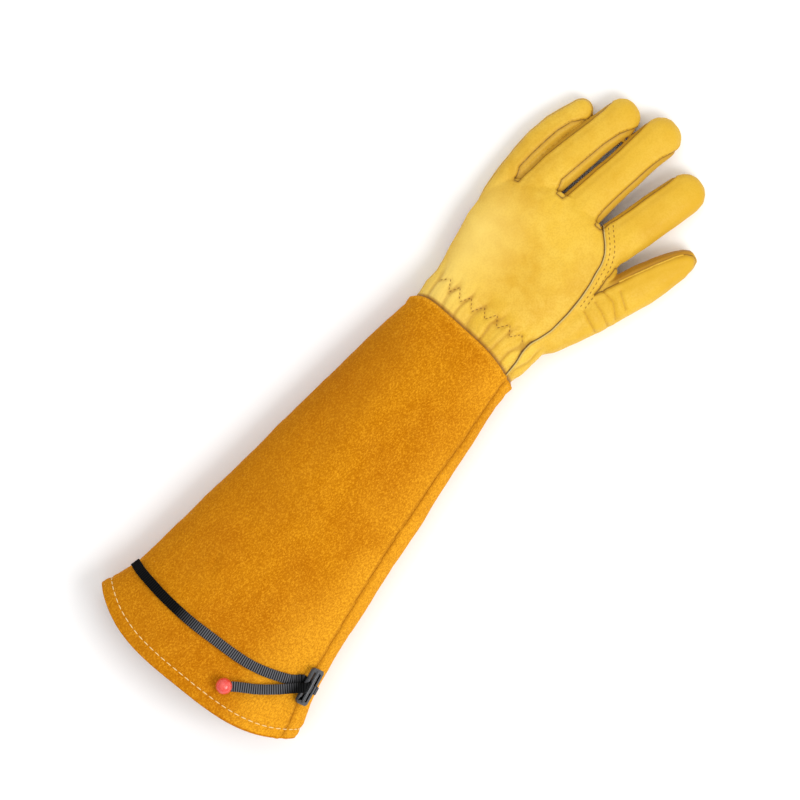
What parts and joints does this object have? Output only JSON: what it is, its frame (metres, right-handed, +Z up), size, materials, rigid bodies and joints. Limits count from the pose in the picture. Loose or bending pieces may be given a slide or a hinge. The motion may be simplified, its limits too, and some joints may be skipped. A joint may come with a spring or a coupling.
{
  "type": "rose pruning gauntlet",
  "caption": "Long-cuffed leather gardening glove for the left hand, lying palm down, with an elastic strap, a slide buckle and a bead on the strap's free end.",
  "frame": {"origin": "on the flat underside of the cuff, in the middle of the cuff's narrow end at the wrist", "axes": "+Y to the fingertips, +X across to the thumb side, +Z up from the surface the glove lies on, out of the back of the hand"},
  "size_m": [0.1636, 0.4865, 0.0611],
  "materials": {
    "suede": "napped suede",
    "grain_leather": "soft satin grain",
    "patch_suede": "napped suede",
    "elastic": "ribbed weave",
    "plastic": "satin",
    "bead": "gloss"
  },
  "bodies": {
    "root": {"cuff_panel": "suede", "cuff_gusset": "suede", "hand_back": "grain_leather", "palm": "grain_leather", "ring_front": "grain_leather", "middle_front": "grain_leather", "fork_pinky_ring": "grain_leather", "fork_ring_middle": "grain_leather", "fork_middle_index": "grain_leather", "thumb_back": "grain_leather", "thumb_front": "grain_leather", "palm_patch": "patch_suede", "strap": "elastic", "buckle_tab": "elastic", "strap_buckle": "plastic", "strap_bead": "bead"}
  },
  "joints": []
}
